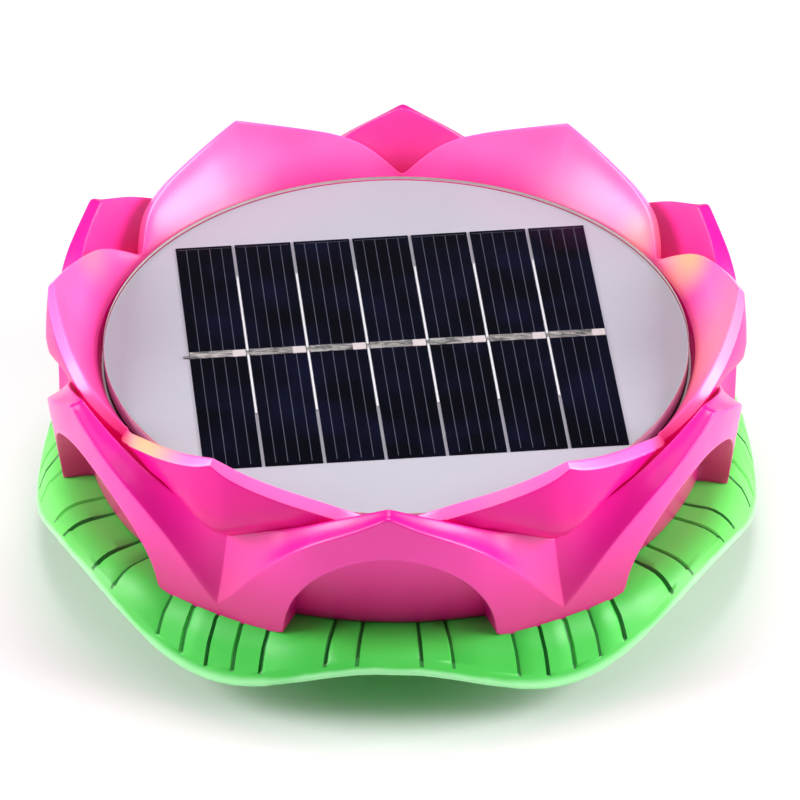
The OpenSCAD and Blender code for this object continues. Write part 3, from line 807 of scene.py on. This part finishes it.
tin.bump(smear, 0.06)
paint(ribbons, tin)
tabs = thin_strips("cell_ribbon_tabs", tab_bars, 0.04)
tab_white = Finish("bare_tab", Roughness=0.5, Metallic=0.0)
tab_white.set("Base Color", tab_white.tones(srgb(206, 194, 198), srgb(226, 214, 216),
                                            tab_white.noise(2, detail=3)))
tab_white.bump(tab_white.noise(0.5, detail=2), 0.02)
paint(tabs, tab_white)
tape = thin_strips("gap_tape", tape_bars, 0.04)
tape_silver = Finish("gap_silver", Roughness=0.45, Metallic=0.1)
tape_silver.set("Base Color", tape_silver.tones(srgb(226, 226, 232), srgb(250, 250, 252),
                                                tape_silver.noise(5, detail=2)))
paint(tape, tape_silver)
for piece in (ribbons, tabs, tape):
    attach(piece, "light")
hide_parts("cell_ribbons")

# %% [markdown]
# The cell strips are thin, hard and nearly black, with a blue tint that drifts from place to
# place. Their shape is right in the CAD, so they only get a finish.

# %% Cell strips
silicon = Finish("cell_silicon", Roughness=0.15, IOR=1.4, Specular_IOR_Level=0.12)
silicon.set("Base Color", silicon.tones(srgb(4, 4, 12), srgb(12, 14, 38),
                                        silicon.noise(12, detail=2).ramp(0.35, 0.8)))
silicon.set("Roughness", 0.12 + silicon.noise(1.2, detail=3) * 0.1)
for k in range(1, 8):
    paint(f"solar_cell_{k}", silicon)
print("cell strips finished:", k)

# %% [markdown]
# The button is pressed from below through a soft boot, and a coil spring pushes it back. Both
# give way as it moves, and they are modelled again. The boot is a profile spun round the
# button's axis.

# %% Button boot
stem_low, stem_high = node_box("switch_button")
BUTTON = ((stem_low[0] + stem_high[0]) / 2, (stem_low[1] + stem_high[1]) / 2)
boot_low, boot_high = node_box("switch_boot")
spring_low, spring_high = node_box("return_spring")


def spun(name, profile, centre, steps=96):
    """A closed profile of (radius, height) spun once round an upright axis."""
    deselect()
    bpy.ops.mesh.primitive_circle_add(vertices=len(profile), radius=0.001)
    piece = bpy.context.active_object
    piece.name = piece.data.name = name
    for vertex, (radius, height) in zip(piece.data.vertices, profile):
        vertex.co = ((centre[0] + radius) * MM, centre[1] * MM, height * MM)
    bpy.ops.object.mode_set(mode="EDIT")
    bpy.ops.mesh.select_all(action="SELECT")
    bpy.ops.mesh.spin(steps=steps, angle=2 * math.pi, center=(centre[0] * MM, centre[1] * MM, 0),
                      axis=(0, 0, 1))
    bpy.ops.mesh.select_all(action="SELECT")
    bpy.ops.mesh.remove_doubles(threshold=1e-6)
    bpy.ops.mesh.normals_make_consistent(inside=False)
    bpy.ops.object.mode_set(mode="OBJECT")
    bpy.ops.object.shade_smooth_by_angle(angle=math.radians(40))
    print(f"{name}: {len(piece.data.polygons)} faces")
    return piece


base, rim_top = boot_low[2], boot_high[2]
boot_outside = [(0.0, base), (2.6, base + 0.03), (3.5, base + 0.25), (4.1, base + 0.7), (4.6, base + 1.5),
                (4.85, base + 2.7), (5.0, base + 3.55), (5.5, base + 3.7), (8.45, base + 3.7),
                (8.6, base + 3.85), (8.6, rim_top)]
boot_inside = [(4.2, rim_top), (3.95, base + 2.4), (3.7, base + 1.4), (3.35, base + 0.86), (0.0, base + 0.8)]
boot = spun("button_boot", boot_outside + boot_inside, BUTTON)
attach(boot, "light")
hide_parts("switch_boot")
BUTTON[0] * MM
BUTTON[1] * MM
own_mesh(boot)

# %% [markdown]
# The spring is drawn as a path of straight steps, 40 to a turn, with a round section, and then
# made a mesh. It stands just inside its own height in the CAD.

# %% Return spring
coil_r, wire_r, turns = 2.3, 0.32, 3.0
rise = spring_high[2] - spring_low[2] - 2 * wire_r - 0.1
deselect()
bpy.ops.curve.primitive_bezier_circle_add(radius=0.001)
guide = bpy.context.active_object
guide.data.splines.clear()
wire = guide.data.splines.new("POLY")
steps = int(turns * 40)
wire.points.add(steps)
for i, point in enumerate(wire.points):
    a = 2 * math.pi * turns * i / steps
    point.co = ((BUTTON[0] + coil_r * math.cos(a)) * MM, (BUTTON[1] + coil_r * math.sin(a)) * MM,
                (spring_low[2] + wire_r + 0.05 + rise * i / steps) * MM, 1)
guide.data.bevel_depth, guide.data.bevel_resolution, guide.data.use_fill_caps = wire_r * MM, 3, True
bpy.ops.object.convert(target="MESH")
coil = bpy.context.active_object
coil.name = coil.data.name = "button_spring"
bpy.ops.object.shade_smooth()
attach(coil, "light")
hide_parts("return_spring")
BUTTON[0] * MM
BUTTON[1] * MM
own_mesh(coil)
print(f"button_spring: {turns:.0f} turns, {len(coil.data.polygons)} faces")

# %% [markdown]
# Everything else keeps its CAD shape and gets the finish of its material: moulded plastics,
# rubber, plated metal, the board and the wire skins. Each is two close tones, with gloss and
# relief at the grain of that material, so no surface is a single flat colour.

# %% Finishes for what is inside and underneath
def simple_finish(name, dark, light, rough, grain=4.0, relief=0.01, **constants):
    """A moulded or metal finish: two close colours, uneven gloss and fine relief."""
    f = Finish(name, **constants)
    f.set("Base Color", f.tones(dark, light, f.noise(grain * 3, detail=2)))
    f.set("Roughness", rough - 0.06 + f.noise(grain * 0.7, detail=3) * 0.12)
    f.bump(f.noise(grain * 0.2, detail=2), relief)
    return f


FINISHES = {
    "hull": simple_finish("hull_plastic", srgb(38, 132, 50), srgb(58, 160, 66), 0.4),
    "frame_white": simple_finish("frame_plastic", srgb(222, 222, 224), srgb(238, 238, 240), 0.45),
    "seal": simple_finish("seal_rubber", srgb(30, 30, 32), srgb(44, 44, 46), 0.7),
    "boot": simple_finish("boot_rubber", srgb(34, 34, 36), srgb(50, 50, 52), 0.62),
    "steel": simple_finish("screw_steel", srgb(170, 172, 176), srgb(198, 199, 203),
                           0.3, grain=1.0, relief=0.004, Metallic=1.0),
    "contact": simple_finish("contact_nickel", srgb(188, 184, 170), srgb(210, 206, 194),
                             0.28, grain=1.0, relief=0.004, Metallic=1.0),
    "terminal": simple_finish("terminal_brass", srgb(190, 160, 90), srgb(214, 184, 112),
                              0.3, grain=0.6, relief=0.002, Metallic=1.0),
    "cell_wrap": simple_finish("battery_sleeve", srgb(22, 110, 70), srgb(30, 128, 82), 0.3),
    "switch_black": simple_finish("switch_plastic", srgb(34, 34, 36), srgb(48, 48, 50), 0.5),
    "button_white": simple_finish("button_plastic", srgb(222, 222, 216), srgb(236, 236, 230), 0.4),
    "board": simple_finish("board_mask", srgb(16, 92, 44), srgb(24, 112, 56), 0.32),
    "chip": simple_finish("chip_plastic", srgb(26, 26, 28), srgb(40, 40, 42),
                          0.5, grain=0.8, relief=0.004),
    "lamp": simple_finish("lamp_dome", srgb(250, 236, 190), srgb(255, 246, 214),
                          0.15, grain=1.0, relief=0.002),
    "wire_red": simple_finish("wire_red_skin", srgb(180, 20, 22), srgb(204, 34, 34),
                              0.45, grain=0.8, relief=0.003),
    "wire_black": simple_finish("wire_black_skin", srgb(22, 22, 24), srgb(38, 38, 40),
                                0.45, grain=0.8, relief=0.003),
    "wire_yellow": simple_finish("wire_yellow_skin", srgb(212, 170, 30), srgb(230, 192, 50),
                                 0.45, grain=0.8, relief=0.003),
    "wire_white": simple_finish("wire_white_skin", srgb(214, 214, 214), srgb(232, 232, 232),
                                0.45, grain=0.8, relief=0.003),
    "ribbon": simple_finish("ribbon_tin", srgb(120, 118, 122), srgb(214, 208, 208),
                            0.35, grain=0.5, relief=0.02, Metallic=0.8),
}
finished = [part for part in frame["record"]["subparts"] if part["material_slot"] in FINISHES]
for part in finished:
    paint(part["node"], FINISHES[part["material_slot"]])
paint(boot, FINISHES["boot"])
paint(coil, FINISHES["steel"])
floor_white = simple_finish("floor_white", srgb(244, 244, 244), srgb(250, 250, 250), 0.7, grain=40, relief=0.0)
paint(floor, floor_white)
print(f"{len(finished)} CAD nodes finished")
